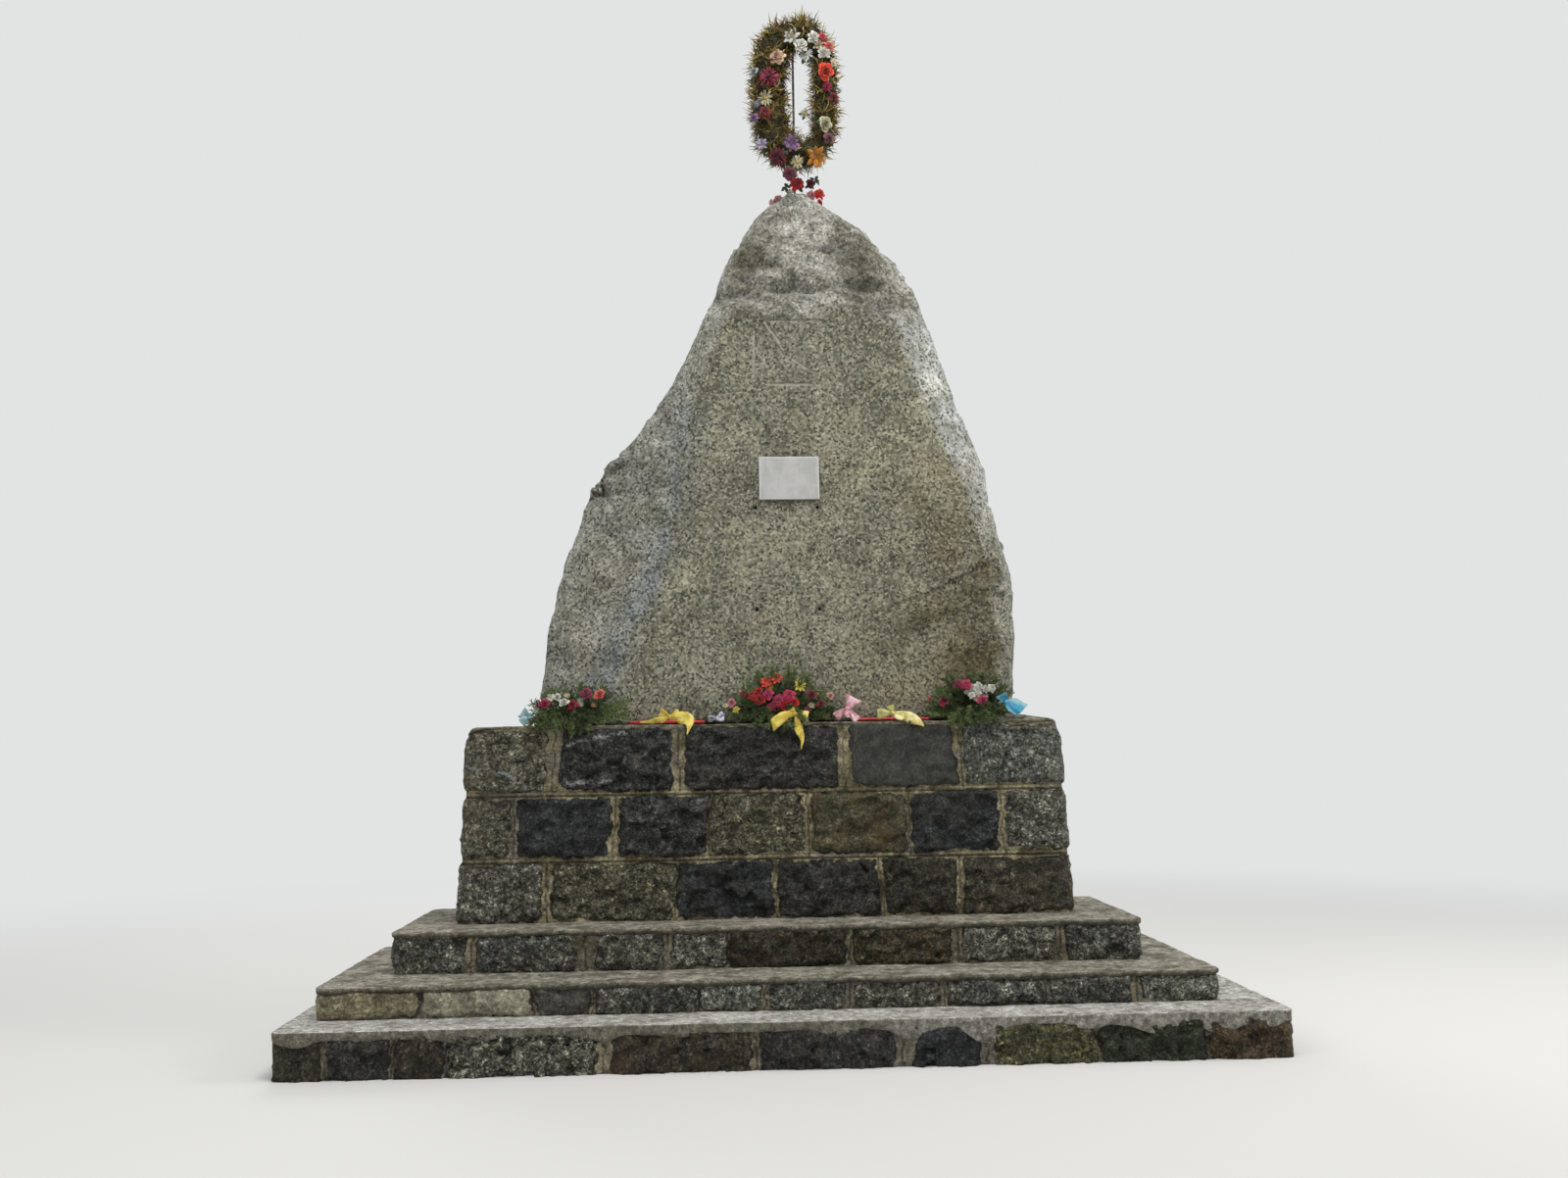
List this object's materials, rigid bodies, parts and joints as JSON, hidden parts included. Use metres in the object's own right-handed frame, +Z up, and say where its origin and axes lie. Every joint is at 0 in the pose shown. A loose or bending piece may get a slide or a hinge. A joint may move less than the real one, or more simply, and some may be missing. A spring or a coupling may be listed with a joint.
{
  "type": "memorial stone on a stepped plinth",
  "caption": "Split granite standing stone on a battered plinth of coursed stone with cement-capped steps, with a small plaque, sprays on the ledge and an oval wreath on a rod.",
  "frame": {"origin": "on the ground, under the middle of the lowest step's footprint", "axes": "+Z up, the split face with the plaque faces -Y, +X to the right seen from the front"},
  "size_m": [5.162, 1.887, 6.295],
  "materials": {
    "rubble_granite": "split and weathered granite stones with pointed joints",
    "step_screed": "old weathered cement screed",
    "fresh_screed": "fresh pale cement screed",
    "bed_mortar": "rough sandy mortar",
    "boulder_granite": "split granite with weathered crust",
    "plaque_stone": "honed pale stone",
    "rod_iron": "grey weathered iron",
    "straw": "dried straw and moss",
    "fir": "fir twigs",
    "blossom_cloth": "dyed cloth petals",
    "red_ribbon": "satin ribbon",
    "yellow_ribbon": "satin ribbon",
    "white_ribbon": "satin ribbon",
    "pink_ribbon": "satin ribbon",
    "blue_ribbon": "satin ribbon",
    "pale_blue_ribbon": "satin ribbon"
  },
  "bodies": {
    "root": {"ground_step": "rubble_granite", "ground_step_screed": "fresh_screed", "middle_step": "rubble_granite", "middle_step_screed": "step_screed", "upper_step": "rubble_granite", "upper_step_screed": "step_screed", "plinth_bottom_course": "rubble_granite", "plinth_lower_bed_joint": "bed_mortar", "plinth_middle_course": "rubble_granite", "plinth_upper_bed_joint": "bed_mortar", "plinth_top_course": "rubble_granite", "plinth_cap_mortar": "bed_mortar", "boulder": "boulder_granite", "plaque_bedding": "bed_mortar", "plaque": "plaque_stone", "wreath_rod": "rod_iron", "wreath_ring": "straw", "wreath_blossoms": "blossom_cloth", "rod_blossoms": "blossom_cloth", "left_spray_greenery": "fir", "left_spray_blossoms": "blossom_cloth", "left_spray_handle": "red_ribbon", "centre_spray_greenery": "fir", "centre_spray_blossoms": "blossom_cloth", "right_spray_greenery": "fir", "right_spray_blossoms": "blossom_cloth", "right_spray_handle": "red_ribbon", "left_yellow_bow": "yellow_ribbon", "white_bow": "white_ribbon", "centre_yellow_bow": "yellow_ribbon", "pink_bow": "pink_ribbon", "right_yellow_bow": "yellow_ribbon", "blue_bow": "blue_ribbon", "pale_blue_bow": "pale_blue_ribbon"}
  },
  "joints": []
}
